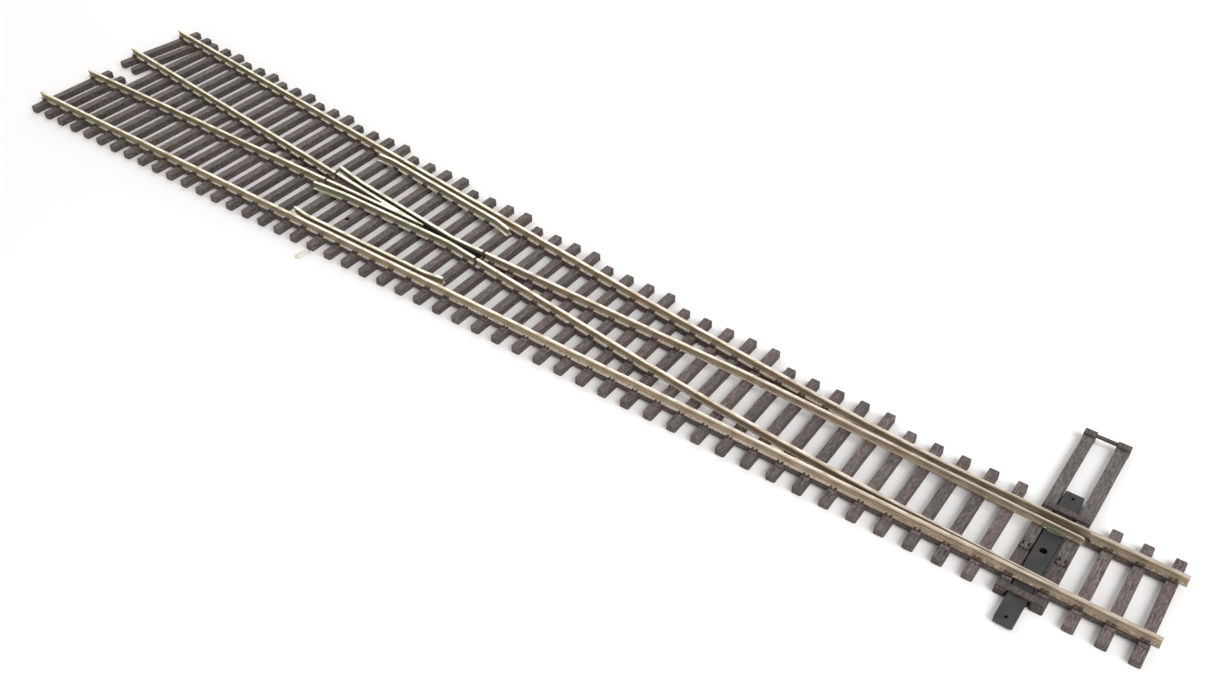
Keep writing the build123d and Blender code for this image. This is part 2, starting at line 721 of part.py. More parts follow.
cuts.append(box(feeder_x - groove_width / 2, feeder_x + groove_width / 2,
                feeder_y - groove_width / 2, tie_near_end + 1, -1, groove_depth))
cuts.append(post(feeder_x, feeder_y, riser_hole_radius, 0, rail_base + 1))
cuts.append(post(nail_hole_x, nail_hole_y, nail_hole_radius, -1, rail_base + 1))

strip = ties[0] + (ties[1:] + near_stubs + strap(strap_near_y) + webs)
strip = strip + fastenings
strip = strip - cuts
save(strip, "tie_strip")

# Long headblock piece, plugged into the stubs, that carries the switch machine or stand
long_parts = []
for tie_x, width in zip(headblock_tie_x, headblock_tie_width):
    long_parts.append(make_tie(tie_x, headblock_far_end, seam_y - seam_gap, width=width))
    tongue_solid = tongue(tie_x, 0) & box(-5, 15, seam_y - 0.6, tongue_end, 0, tie_height)
    long_parts.append(tongue_solid)
    raised = box(tie_x - width / 2 - 0.1, tie_x + width / 2 + 0.1, headblock_far_end,
                 headblock_far_end + headblock_block_length, 0, tie_height + headblock_block_rise)
    long_parts.append(chamfer(raised.edges().group_by(Axis.Z)[-1], 0.2))
bar_far_y = headblock_far_end + headblock_bar_inset
long_parts.append(box(headblock_tie_x[0], headblock_tie_x[1], bar_far_y, bar_far_y + headblock_bar_width,
                      headblock_bar_low, headblock_bar_high))
long_parts += strap(strap_far_y)
long_parts += far_stock_fastenings
headblock = long_parts[0] + long_parts[1:]
save(headblock, "headblock_long")


# Wires
def wire_along(points, radius=0.35):
    path = FilletPolyline(*points, radius=radius)
    tangent = path % 0
    plane = Plane(origin=path @ 0, z_dir=tangent)
    return sweep(plane * Circle(wire_radius), path=path)


for name, (wire_x, y_low, y_high) in jumpers.items():
    save(wire_along([(wire_x, y_low, rail_base), (wire_x, y_low, wire_low_z),
                     (wire_x, y_high, wire_low_z), (wire_x, y_high, rail_base)]), name)
loop_x = feeder_x + feeder_loop_width
save(wire_along([
    (feeder_x, feeder_y, rail_base),
    (feeder_x, feeder_y, wire_low_z),
    (feeder_x, tie_near_end + 1.0, wire_low_z),
    (feeder_x + 0.5, feeder_loop_y, wire_low_z),
    (loop_x + 0.5, feeder_loop_y, wire_low_z),
    (loop_x + 0.1, tie_near_end + 0.6, wire_low_z),
]), "frog_feeder_wire")
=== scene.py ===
import math

import bmesh
import bpy
import numpy as np
from mathutils import Matrix, Vector


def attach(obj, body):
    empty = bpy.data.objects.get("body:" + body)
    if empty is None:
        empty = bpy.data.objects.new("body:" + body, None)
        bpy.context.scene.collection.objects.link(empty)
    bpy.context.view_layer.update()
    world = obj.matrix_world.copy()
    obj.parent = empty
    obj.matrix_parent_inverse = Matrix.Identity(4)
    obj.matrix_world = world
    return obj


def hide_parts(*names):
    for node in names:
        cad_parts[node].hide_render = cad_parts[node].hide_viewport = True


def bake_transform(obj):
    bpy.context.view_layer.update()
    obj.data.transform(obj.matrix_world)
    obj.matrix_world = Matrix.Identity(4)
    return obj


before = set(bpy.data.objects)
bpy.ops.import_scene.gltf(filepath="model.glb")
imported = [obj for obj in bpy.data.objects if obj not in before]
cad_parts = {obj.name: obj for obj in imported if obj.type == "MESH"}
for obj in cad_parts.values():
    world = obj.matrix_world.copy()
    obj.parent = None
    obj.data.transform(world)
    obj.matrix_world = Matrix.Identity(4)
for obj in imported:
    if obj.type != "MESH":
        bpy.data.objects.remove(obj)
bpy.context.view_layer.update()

# HO-scale model turnout: moulded tie strip, drawn rails, frog, throw bar and headblock.
# Sizes are in millimetres as in the CAD source. Meshes are scaled to metres when they are made.
MM = 0.001
scene = bpy.context.scene

# Track layout, as in the CAD source
gauge = 16.5
half_head = 0.45
half_foot = 0.90
head_depth = 0.56
rail_y = gauge / 2 + half_head
rail_base = 2.05
rail_height = 2.108
rail_top = rail_base + rail_height
rail_start_x = -21.6
rail_end_x = 321.3
point_tip_x = -1.85
frog_x = point_tip_x + 177.8
frog_angle = 2 * math.atan(1 / 16)
slope = math.tan(frog_angle)
cosine = math.cos(frog_angle)
sine = math.sin(frog_angle)
stock_bend_radius = 600.0
first_turn = math.radians(5.71)
closure_radius = 1000.0
closure_tangent_x = 108.3
full_foot_end_x = 95.6
flex_hinge_x = 78.0
flex_half_length = 17.0
throw_distance = 2.03
throw_bar_x = 4.15
throw_angle = math.asin(throw_distance / (flex_hinge_x - throw_bar_x))
toe_gap_x = 156.8
heel_gap_x = 214.5
rail_gap = 0.90
wing_end_x = 216.2
wing_flare = 0.85
wing_flare_length = 11.0
guard_start_x = 158.1
guard_end_x = 211.5
guard_offset = 2.05
guard_flare = 0.85
guard_flare_length = 5.0
flangeway = 1.10
nail_hole = (198.45, -0.5)
drawn_hole_radius = 0.625        # wider than the 0.50 of the CAD, as the photo shows a larger mark
hole_shade = (0.62, 0.66)        # painted shade: the black in the hole fades out between these radii

# Ties, as in the CAD source
tie_pitch = 6.35
tie_width = 2.40
tie_height = 1.90
tie_near_end = 13.9
tie_end_standard = 14.5
first_step_tie_x = 14.15
tie_steps = ((5, 15.9), (5, 18.5), (5, 22.3), (4, 25.3), (4, 28.2), (4, 31.5), (4, 34.7),
             (4, 37.8), (3, 40.2), (3, 42.4), (3, 44.6), (3, 46.9))
headblock_tie_x = (0.22, 7.65)
headblock_tie_width = (2.84, 2.50)
headblock_far_end = -39.1
headblock_near_end = 13.55
seam_y = -0.85
seam_gap = 0.10
tongue_clearance = 0.24          # wider than in the CAD, so that the seam shows
tongue_end = seam_y + 1.9
strap_near_y = 12.4
strap_far_y = -12.72
strap_width = 1.55


# ---------------------------------------------------------------- camera and light
camera_data = bpy.data.cameras.new("camera")
camera_data.sensor_width = 36.0
camera_data.lens = 35.611
camera_data.clip_start = 0.01
camera = bpy.data.objects.new("camera", camera_data)
camera_right = Vector((-0.81046727, -0.58577716, 0.00281362))
camera_up = Vector((0.38766269, -0.53274754, 0.75226172))
camera_back = Vector((-0.43915879, 0.61077425, 0.65885839))
camera_turn = Matrix((camera_right, camera_up, camera_back)).transposed().to_4x4()
camera.matrix_world = Matrix.Translation(Vector((-0.0147153, 0.1752837, 0.1902791))) @ camera_turn
scene.collection.objects.link(camera)
scene.camera = camera
scene.view_settings.view_transform = "Standard"


def area_light(name, watts, width, height, place, target):
    data = bpy.data.lights.new(name, "AREA")
    data.shape = "RECTANGLE"
    data.energy = watts
    data.size = width
    data.size_y = height
    lamp = bpy.data.objects.new(name, data)
    lamp.location = place
    lamp.rotation_mode = "QUATERNION"
    lamp.rotation_quaternion = (Vector(target) - Vector(place)).to_track_quat("-Z", "Y")
    scene.collection.objects.link(lamp)
    return lamp


area_light("key_light", 5.2, 0.50, 0.50, (-0.52, 0.06, 0.56), (0.10, 0.0, 0.0))
area_light("back_light", 5.8, 1.30, 0.80, (0.75, -0.52, 0.46), (0.14, 0.0, 0.0))
area_light("front_fill", 2.0, 0.90, 0.30, (-0.32, 0.62, 0.28), (0.06, 0.0, 0.0))
world = bpy.data.worlds.new("studio")
scene.world = world
world.use_nodes = True
world.node_tree.nodes["Background"].inputs["Color"].default_value = (1.0, 0.992, 0.98, 1)
world.node_tree.nodes["Background"].inputs["Strength"].default_value = 0.46


# ---------------------------------------------------------------- materials
def scaled(colour, factor):
    return tuple(factor * c for c in colour)


class Shader:
    """Small helper that builds a node material."""

    def __init__(self, name, roughness=0.5, metallic=0.0, specular=0.5):
        self.material = bpy.data.materials.new(name)
        self.material.use_nodes = True
        self.tree = self.material.node_tree
        self.bsdf = self.tree.nodes["Principled BSDF"]
        self.bsdf.inputs["Roughness"].default_value = roughness
        self.bsdf.inputs["Metallic"].default_value = metallic
        self.bsdf.inputs["Specular IOR Level"].default_value = specular
        self.coordinates = self.tree.nodes.new("ShaderNodeTexCoord").outputs["Object"]

    def put(self, socket, value):
        if isinstance(value, bpy.types.NodeSocket):
            self.tree.links.new(value, socket)
        elif isinstance(value, (tuple, list)) and len(value) == 3 and socket.type == "RGBA":
            socket.default_value = (*value, 1)
        else:
            socket.default_value = value

    def noise(self, scale, detail=4.0, roughness=0.6):
        """Noise whose cells per metre are given along x, y and z."""
        mapping = self.tree.nodes.new("ShaderNodeMapping")
        mapping.inputs["Scale"].default_value = scale
        self.tree.links.new(self.coordinates, mapping.inputs["Vector"])
        node = self.tree.nodes.new("ShaderNodeTexNoise")
        node.inputs["Scale"].default_value = 1.0
        node.inputs["Detail"].default_value = detail
        node.inputs["Roughness"].default_value = roughness
        self.tree.links.new(mapping.outputs["Vector"], node.inputs["Vector"])
        return node.outputs["Fac"]

    def span(self, value, low, high, out_low=0.0, out_high=1.0):
        node = self.tree.nodes.new("ShaderNodeMapRange")
        for key, number in (("From Min", low), ("From Max", high), ("To Min", out_low), ("To Max", out_high)):
            node.inputs[key].default_value = number
        self.put(node.inputs["Value"], value)
        return node.outputs["Result"]

    def mix(self, factor, a, b, kind="MIX"):
        node = self.tree.nodes.new("ShaderNodeMix")
        node.data_type = "RGBA"
        node.blend_type = kind
        self.put(node.inputs["Factor"], factor)
        self.put(node.inputs["A"], a)
        self.put(node.inputs["B"], b)
        return [s for s in node.outputs if s.type == "RGBA"][0]

    def math(self, operation, a, b=0.0):
        node = self.tree.nodes.new("ShaderNodeMath")
        node.operation = operation
        self.put(node.inputs[0], a)
        self.put(node.inputs[1], b)
        return node.outputs[0]

    def attribute(self, name):
        node = self.tree.nodes.new("ShaderNodeAttribute")
        node.attribute_name = name
        return node.outputs["Fac"]

    def part_of(self, source, index):
        node = self.tree.nodes.new("ShaderNodeSeparateXYZ")
        self.tree.links.new(source, node.inputs[0])
        return node.outputs[index]

    def normal_up(self):
        node = self.tree.nodes.new("ShaderNodeNewGeometry")
        return self.part_of(node.outputs["Normal"], 2)

    def normal_across(self):
        """How far a face looks along y, to either side."""
        node = self.tree.nodes.new("ShaderNodeNewGeometry")
        return self.math("ABSOLUTE", self.part_of(node.outputs["Normal"], 1))

    def near_axis(self, x, y, inner, outer):
        """0 within the inner distance of an upright axis at x and y in millimetres, 1 beyond the outer."""
        dx = self.math("SUBTRACT", self.part_of(self.coordinates, 0), x * MM)
        dy = self.math("SUBTRACT", self.part_of(self.coordinates, 1), y * MM)
        square = self.math("ADD", self.math("MULTIPLY", dx, dx), self.math("MULTIPLY", dy, dy))
        return self.span(self.math("SQRT", square), inner * MM, outer * MM)

    def bump(self, height, strength, distance):
        node = self.tree.nodes.new("ShaderNodeBump")
        node.inputs["Strength"].default_value = strength
        node.inputs["Distance"].default_value = distance
        self.put(node.inputs["Height"], height)
        self.tree.links.new(node.outputs["Normal"], self.bsdf.inputs["Normal"])

    def finish(self, colour, roughness=None):
        self.put(self.bsdf.inputs["Base Color"], colour)
        if roughness is not None:
            self.put(self.bsdf.inputs["Roughness"], roughness)
        return self.material


def moulded_wood(name, dark, light, warm):
    """Matte plastic moulded with wood grain that runs along the ties."""
    s = Shader(name, specular=0.30)
    streaks = s.noise((4200, 300, 2600), 5, 0.6)
    blotches = s.noise((260, 190, 260), 3, 0.5)
    specks = s.noise((2600, 900, 2300), 2, 0.55)
    colour = s.mix(s.span(streaks, 0.39, 0.59), scaled(dark, 0.78), scaled(light, 1.08))
    colour = s.mix(s.span(blotches, 0.40, 0.68, 0.0, 0.55), colour, warm)
    colour = s.mix(s.span(specks, 0.55, 0.68, 0.0, 0.55), colour, scaled(light, 1.7))
    colour = s.mix(s.span(specks, 0.44, 0.30, 0.0, 0.60), colour, scaled(dark, 0.45))
    tone = s.span(s.attribute("tone"), -1.0, 1.0, 0.0, 1.0)
    colour = s.mix(1.0, colour, s.mix(tone, (0.86, 0.85, 0.86), (1.16, 1.14, 1.14)), "MULTIPLY")
    hue = s.span(s.math("SINE", s.math("MULTIPLY", s.attribute("tone"), 17.0)), -1.0, 1.0)
    colour = s.mix(1.0, colour, s.mix(hue, (0.97, 1.015, 0.965), (1.035, 0.99, 1.02)), "MULTIPLY")
    # Painted shade: faces that do not look up are darkened, and faces that look up are lightened a little.
    upright = s.span(s.normal_up(), 0.35, 0.75)
    colour = s.mix(1.0, colour, s.mix(upright, (0.66, 0.64, 0.63), (1.02, 1.02, 1.02)), "MULTIPLY")
    # Painted light: faces that look along y, such as the tie ends, are brightened.
    lit_y_faces = s.span(s.normal_across(), 0.55, 0.90)
    colour = s.mix(1.0, colour, s.mix(lit_y_faces, (1.0, 1.0, 1.0), (1.28, 1.28, 1.28)), "MULTIPLY")
    # Painted shade: the wall and rim of the nail hole are painted near black.
    hole = s.near_axis(*nail_hole, *hole_shade)
    colour = s.mix(hole, (0.006, 0.005, 0.005), colour)
    s.bump(s.math("ADD", s.math("MULTIPLY", streaks, 0.8), s.math("MULTIPLY", specks, 0.5)), 0.75, 0.00010)
    return s.finish(colour, s.span(streaks, 0.3, 0.7, 0.62, 0.80))


def smooth_plastic(name, dark, light, roughness, hole=None):
    """Plain moulded plastic with a faint mottle and fine scuffs, and painted shade in a hole if one is given.
    """
    s = Shader(name, specular=0.40)
    mottle = s.noise((420, 420, 420), 4, 0.55)
    scuffs = s.noise((900, 5200, 900), 3, 0.6)
    specks = s.noise((6000, 6000, 6000), 2, 0.5)
    colour = s.mix(s.span(mottle, 0.35, 0.65), dark, light)
    colour = s.mix(s.span(scuffs, 0.60, 0.75, 0.0, 0.22), colour, scaled(light, 1.8))
    # Painted shade: the wall of the hole is painted near black.
    if hole is not None:
        colour = s.mix(s.near_axis(*hole), (0.002, 0.002, 0.002), colour)
    s.bump(s.math("ADD", scuffs, s.math("MULTIPLY", specks, 0.7)), 0.25, 0.00003)
    return s.finish(colour, s.span(mottle, 0.3, 0.7, roughness - 0.06, roughness + 0.08))


def frog_floor(name, dark, light):
    """Moulded floor of the frog: black in the flangeways, brown-grey between the frog point's two rails."""
    s = Shader(name, roughness=0.75, specular=0.2)
    mottle = s.noise((900, 900, 900), 4, 0.6)
    x_mm = s.math("MULTIPLY", s.part_of(s.coordinates, 0), 1 / MM)
    y_mm = s.math("MULTIPLY", s.part_of(s.coordinates, 1), 1 / MM)
    slant = s.math("MULTIPLY", s.math("SUBTRACT", x_mm, frog_x), -slope)
    left_line = s.math("ADD", slant, half_head - gauge / 2)
    above = s.span(s.math("SUBTRACT", y_mm, left_line), 0.0, 0.1)
    below = s.span(y_mm, -rail_y, -rail_y - 0.1)
    inside = s.math("MULTIPLY", above, below)
    colour = s.mix(inside, dark, s.mix(s.span(mottle, 0.35, 0.65), light, scaled(light, 1.5)))
    s.bump(mottle, 0.4, 0.00004)
    return s.finish(colour)


def drawn_metal(name, top, side, stain, roughness, stain_amount=0.5, metallic=0.75):
    """Drawn metal: brighter where it faces up, a painted highlight, and darker and warmer on the sides,
    painted shade; the sides are also stained, and it has lengthwise lines.

    Its heights are in metres above the floor.
    """
    s = Shader(name, metallic=metallic, specular=0.35)
    lines = s.noise((45, 3400, 3400), 4, 0.6)
    clouds = s.noise((260, 700, 700), 4, 0.65)
    spots = s.noise((1500, 1900, 1900), 3, 0.6)
    # Painted light and shade: upward faces take the bright top colour, the other faces the darker side
    # colour.
    facing_up = s.span(s.normal_up(), 0.45, 0.85)
    colour = s.mix(facing_up, side, top)
    streaks = s.math("MULTIPLY", s.span(lines, 0.46, 0.60), s.span(facing_up, 0.0, 1.0, 0.75, 0.22))
    colour = s.mix(streaks, colour, stain)
    colour = s.mix(s.span(clouds, 0.44, 0.62, 0.0, stain_amount), colour, stain)
    height = s.part_of(s.coordinates, 2)
    foot_top, web_low, web_high, head_low = 0.00242, 0.00250, 0.00350, 0.00365
    low = s.span(height, web_low, foot_top)
    toe = s.math("MULTIPLY", low, s.span(s.part_of(s.coordinates, 0), 0.070, 0.020))
    # Painted highlight: the foot is lightened towards the top colour, standing in for light reflected off it.
    colour = s.mix(s.math("MULTIPLY", low, 0.85), colour, tuple(0.6 * a + 0.4 * b for a, b in zip(top, side)))
    # Painted highlights: light patches on the foot stand in for glints.
    foot_glints = s.math("MULTIPLY", low, s.span(s.noise((330, 500, 500), 3, 0.6), 0.50, 0.58, 0.0, 0.65))
    colour = s.mix(foot_glints, colour, (0.86, 0.74, 0.66))
    # Painted shade: dark lines in the creases under the head and above the foot.
    under_head = s.math("MULTIPLY", s.span(height, head_low, web_high), s.span(height, 0.00310, 0.00335))
    above_foot = s.math("MULTIPLY", s.span(height, foot_top, web_low), s.span(height, 0.00280, 0.00264))
    crease_shade = s.math("MAXIMUM", s.math("MULTIPLY", under_head, 0.75), s.math("MULTIPLY", above_foot, 0.45))
    colour = s.mix(crease_shade, colour, scaled(stain, 0.40))
    grime = s.math("MULTIPLY", s.span(height, 0.0030, 0.0024), s.span(spots, 0.50, 0.66, 0.0, 0.70))
    grime = s.math("MAXIMUM", grime, s.math("MULTIPLY", toe, s.span(spots, 0.36, 0.50, 0.55, 0.95)))
    colour = s.mix(grime, colour, scaled(stain, 0.45))
    s.put(s.bsdf.inputs["Metallic"], s.span(grime, 0.0, 1.0, metallic, 0.1))
    # Painted shade: towards the frog the metal is darker and greener, standing in for reflections that change
    # with the viewing angle.
    heel_shade = s.span(s.part_of(s.coordinates, 0), 0.14, 0.28)
    colour = s.mix(1.0, colour, s.mix(heel_shade, (1.0, 1.0, 1.0), (0.76, 0.79, 0.74)), "MULTIPLY")
    greenish = s.span(s.noise((110, 900, 900), 4, 0.65), 0.48, 0.62, 0.0, 0.70)
    colour = s.mix(s.math("MULTIPLY", greenish, s.span(facing_up, 0.0, 1.0, 1.0, 0.0)), colour,
                   tuple(c * g for c, g in zip(side, (0.72, 0.80, 0.68))))
    s.bump(s.math("ADD", lines, s.math("MULTIPLY", spots, 0.3)), 0.18, 0.00003)
    rough = s.math("ADD", s.span(facing_up, 0.0, 1.0, roughness + 0.22, roughness),
                   s.math("ADD", s.span(lines, 0.35, 0.65, -0.05, 0.06),
                          s.span(clouds, 0.45, 0.70, 0.0, 0.12)))
    rough = s.math("ADD", rough, s.math("MULTIPLY", grime, 0.3))
    return s.finish(colour, rough)


tie_material = moulded_wood("tie_brown_grey", (0.078, 0.064, 0.062), (0.140, 0.118, 0.112),
                            (0.112, 0.085, 0.076))
stub_material = moulded_wood("stub_brown", (0.046, 0.038, 0.036), (0.086, 0.074, 0.071),
                             (0.078, 0.058, 0.052))
headblock_material = moulded_wood("headblock_grey", (0.074, 0.066, 0.065), (0.134, 0.119, 0.117),
                                  (0.100, 0.088, 0.084))
spike_material = moulded_wood("spike_red_brown", (0.040, 0.027, 0.024), (0.074, 0.050, 0.043),
                              (0.085, 0.050, 0.040))
strap_material = moulded_wood("strap_red_brown", (0.052, 0.042, 0.041), (0.092, 0.074, 0.071),
                              (0.098, 0.070, 0.064))
# Its last numbers place the painted shade in the throw bar's actuator hole.
bar_material = smooth_plastic("throw_bar_charcoal", (0.029, 0.028, 0.028), (0.041, 0.039, 0.039), 0.52,
                              (throw_bar_x, -0.5, 0.80, 0.84))
filler_material = frog_floor("frog_filler_dark", (0.005, 0.004, 0.004), (0.070, 0.060, 0.056))
rail_material = drawn_metal("rail_nickel_silver", (0.82, 0.73, 0.63), (0.63, 0.51, 0.385),
                            (0.37, 0.275, 0.175), 0.36, 0.60)
frog_material = drawn_metal("rail_nickel_silver_frog", (0.88, 0.81, 0.71), (0.50, 0.44, 0.32),
                            (0.31, 0.27, 0.17), 0.38, 0.55)
clip_material = drawn_metal("tinned_clip", (0.60, 0.62, 0.50), (0.46, 0.49, 0.38), (0.30, 0.31, 0.22), 0.42)
solder_material = drawn_metal("solder", (0.86, 0.86, 0.82), (0.78, 0.78, 0.74), (0.5, 0.5, 0.46), 0.28, 0.3)
wire_material = drawn_metal("wire_tinned", (0.86, 0.80, 0.70), (0.78, 0.72, 0.62),
                            (0.60, 0.52, 0.42), 0.36, 0.3)


# ---------------------------------------------------------------- mesh helpers
def make_piece(name, verts, faces, material, body, nodes, tone=None, smooth_angle=35.0):
    """Mesh object in the frame from vertices in millimetres, riding on a body and standing for CAD nodes."""
    mesh = bpy.data.meshes.new(name)
    mesh.from_pydata([tuple(v) for v in np.asarray(verts) * MM], [], faces)
    mesh.validate()
    work = bmesh.new()
    work.from_mesh(mesh)
    bmesh.ops.recalc_face_normals(work, faces=work.faces)
    limit = math.radians(smooth_angle)
    for edge in work.edges:
        edge.smooth = len(edge.link_faces) == 2 and edge.calc_face_angle(0.0) < limit
    for face in work.faces:
        face.smooth = True
    work.to_mesh(mesh)
    work.free()
    if tone is not None:
        layer = mesh.attributes.new("tone", "FLOAT", "POINT")
        layer.data.foreach_set("value", np.asarray(tone, np.float32))
    mesh.materials.append(material)
    piece = bpy.data.objects.new(name, mesh)
    scene.collection.objects.link(piece)
    if body is not None:
        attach(piece, body)
    if nodes:
        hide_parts(*nodes)
    return piece


class Shells:
    """Collects closed shells into one mesh, with one tone value a shell."""

    def __init__(self):
        self.verts = []
        self.faces = []
        self.tones = []
        self.count = 0

    def add(self, verts, faces, tone=0.0):
        verts = np.asarray(verts, float)
        self.verts.append(verts)
        self.faces += [tuple(i + self.count for i in f) for f in faces]
        self.tones.append(np.full(len(verts), tone))
        self.count += len(verts)

    def piece(self, name, material, body, node, slot, smooth_angle=35.0):
        return make_piece(name, np.vstack(self.verts), self.faces, material, body, [node] if node else [],
                          np.concatenate(self.tones), smooth_angle)


def turned(verts, angle, x=0.0, y=0.0, z=0.0):
    """Vertices turned about +Z by an angle in radians, then moved."""
    v = np.asarray(verts, float)
    c, s = math.cos(angle), math.sin(angle)
    return np.column_stack((v[:, 0] * c - v[:, 1] * s + x, v[:, 0] * s + v[:, 1] * c + y, v[:, 2] + z))


def loft(rings):
    """Closed shell through equal rings of points, with flat end caps."""
    rings = np.asarray(rings, float)
    count, size = rings.shape[0], rings.shape[1]
    faces = []
    for i in range(count - 1):
        for j in range(size):
            k = (j + 1) % size
            faces.append((i * size + j, i * size + k, (i + 1) * size + k, (i + 1) * size + j))
    faces.append(tuple(range(size - 1, -1, -1)))
    faces.append(tuple((count - 1) * size + j for j in range(size)))
    return rings.reshape(-1, 3), faces


def corner(centre_u, centre_v, radius, start, end, steps=4):
    """Points of a rounded corner of a section."""
    return [(centre_u + radius * math.cos(math.radians(a)), centre_v + radius * math.sin(math.radians(a)))
            for a in np.linspace(start, end, steps)]


def smooth_noise(rng, rows, columns, length):
    """Random field with long waves along the columns, between about -1 and 1."""
    field = rng.normal(size=(rows, columns + 2 * length))
    kernel = np.hanning(length + 2)
    kernel /= math.sqrt((kernel ** 2).sum())
    rows_out = [np.convolve(row, kernel, mode="same")[length:-length] for row in field]
    return np.clip(np.array(rows_out).reshape(rows, columns) / 2.2, -1, 1)


# ---------------------------------------------------------------- ties
top_columns = 17
side_rows = 3
end_round = 0.42
top_round = 0.13
grain_depth = 0.035
grain_base = 0.9                 # shifts the grain down, so that hardly any rises above the tie height
grain_length, crack_length, wander_length = 7, 10, 17        # waves along a tie, in stations
station_spacing = 0.80
crack_share = 0.22
wander_width = 0.03
side_roughness = 0.012
draft = 0.06


def tie_shell(rng, y_low, y_high, width=tie_width, height=tie_height, low_z=0.0,
              round_low=True, round_high=True):
    """Moulded tie along y: rounded ends, slightly tapered sides and lengthwise grain cut in its top."""
    length = y_high - y_low
    inner = np.linspace(y_low + end_round, y_high - end_round, max(4, int(length / station_spacing)))
    ends = end_round * (1 - np.cos(np.radians([0.0, 22, 45, 68, 90])))
    low_part = y_low + ends[:-1] if round_low else np.array([y_low, y_low + 0.5 * end_round])
    high_part = y_high - ends[:-1][::-1] if round_high else np.array([y_high - 0.5 * end_round, y_high])
    ys = np.concatenate((low_part, inner, high_part))
    grain = smooth_noise(rng, top_columns, len(ys), grain_length)
    side_grain = smooth_noise(rng, 2 * side_rows, len(ys), grain_length)
    wander = smooth_noise(rng, 2, len(ys), wander_length) * wander_width
    cracks = rng.random(top_columns) < crack_share
    cut = smooth_noise(rng, int(cracks.sum()), len(ys), crack_length)
    grain[cracks] -= 0.9 * np.clip(cut, 0, 1)
    rings = []
    for j, y in enumerate(ys):
        near = end_round
        if round_low:
            near = min(near, y - y_low)
        if round_high:
            near = min(near, y_high - y)
        pull = end_round - math.sqrt(max(end_round ** 2 - (end_round - near) ** 2, 0.0))
        half = width / 2 - pull
        low = top_round * 1.2 * pull / end_round
        top = height - low
        left, right = -half + wander[0, j], half + wander[1, j]
        ring = []
        for i in range(side_rows):
            part = i / side_rows
            rough = side_roughness * side_grain[i, j]
            ring.append((right - draft * part + rough, y, low_z + (top - top_round - low_z) * part))
        for u, v in corner(right - draft - top_round, top - top_round, top_round, 0, 68, 4):
            ring.append((u, y, v))
        inside = np.linspace(right - draft - 1.25 * top_round, left + draft + 1.25 * top_round, top_columns)
        for i, u in enumerate(inside):
            ring.append((u, y, top + grain_depth * (grain[i, j] - grain_base)))
        for u, v in corner(left + draft + top_round, top - top_round, top_round, 112, 180, 4):
            ring.append((u, y, v))
        for i in range(side_rows - 1, -1, -1):
            part = i / side_rows
            rough = side_roughness * side_grain[side_rows + i, j]
            ring.append((left + draft * part - rough, y, low_z + (top - top_round - low_z) * part))
        rings.append(ring)
    return loft(rings)


def shell_of(work):
    """Vertices and faces of a bmesh, which is then freed."""
    work.verts.index_update()
    verts = np.array([tuple(v.co) for v in work.verts])
    faces = [tuple(v.index for v in f.verts) for f in work.faces]
    work.free()
    return verts, faces


def box_shell(x_low, x_high, y_low, y_high, z_low, z_high, bevel=0.06, steps=2):
    """Box with rounded edges."""
    work = bmesh.new()
    bmesh.ops.create_cube(work, size=1.0)
    for v in work.verts:
        v.co.x = x_low if v.co.x < 0 else x_high
        v.co.y = y_low if v.co.y < 0 else y_high
        v.co.z = z_low if v.co.z < 0 else z_high
    bmesh.ops.bevel(work, geom=work.edges[:], offset=bevel, segments=steps, profile=0.5, affect="EDGES")
    return shell_of(work)


def cut_with(piece, cutters):
    """Cuts closed shells out of a piece's mesh."""
    verts, faces, count = [], [], 0
    for cutter_verts, cutter_faces in cutters:
        verts.append(np.asarray(cutter_verts))
        faces += [tuple(i + count for i in f) for f in cutter_faces]
        count += len(cutter_verts)
    mesh = bpy.data.meshes.new("cutter")
    mesh.from_pydata([tuple(v) for v in np.vstack(verts) * MM], [], faces)
    work = bmesh.new()
    work.from_mesh(mesh)
    bmesh.ops.recalc_face_normals(work, faces=work.faces)
    work.to_mesh(mesh)
    work.free()
    cutter = bpy.data.objects.new("cutter", mesh)
    scene.collection.objects.link(cutter)
    modifier = piece.modifiers.new("cut", "BOOLEAN")
    modifier.operation = "DIFFERENCE"
    modifier.solver = "EXACT"
    modifier.object = cutter
    bpy.context.view_layer.update()
    shaped = bpy.data.meshes.new_from_object(piece.evaluated_get(bpy.context.evaluated_depsgraph_get()))
    piece.modifiers.clear()
    piece.data = shaped
    bpy.data.objects.remove(cutter)


rng = np.random.default_rng(87)
tie_list = [(-n * tie_pitch, -tie_end_standard, tie_end_standard - 0.1) for n in (1, 2, 3)]
tie_x = first_step_tie_x
for step_count, reach in tie_steps:
    for _ in range(step_count):
        tie_list.append((tie_x, -reach, tie_near_end))
        tie_x += tie_pitch
end_tie_x = (tie_x, tie_x + tie_pitch)
for x in end_tie_x:
    tie_list.append((x, -tie_end_standard, tie_near_end))

ties = Shells()
holed = Shells()
for x, y_low, y_high in tie_list:
    verts, faces = tie_shell(rng, y_low, y_high)
    group = holed if abs(x - nail_hole[0]) < tie_width / 2 else ties
    group.add(turned(verts, 0.0, x), faces, rng.uniform(-1, 1))


def frog_gauge_y(x):
    return -gauge / 2 - slope * (x - frog_x)


def frog_left_y(x):
    return frog_gauge_y(x) + half_head / cosine


def frog_right_y(x):
    return frog_gauge_y(x) - (gauge + half_head) / cosine


def diverging_centre_y(x):
    return frog_gauge_y(x) - gauge / 2 / cosine


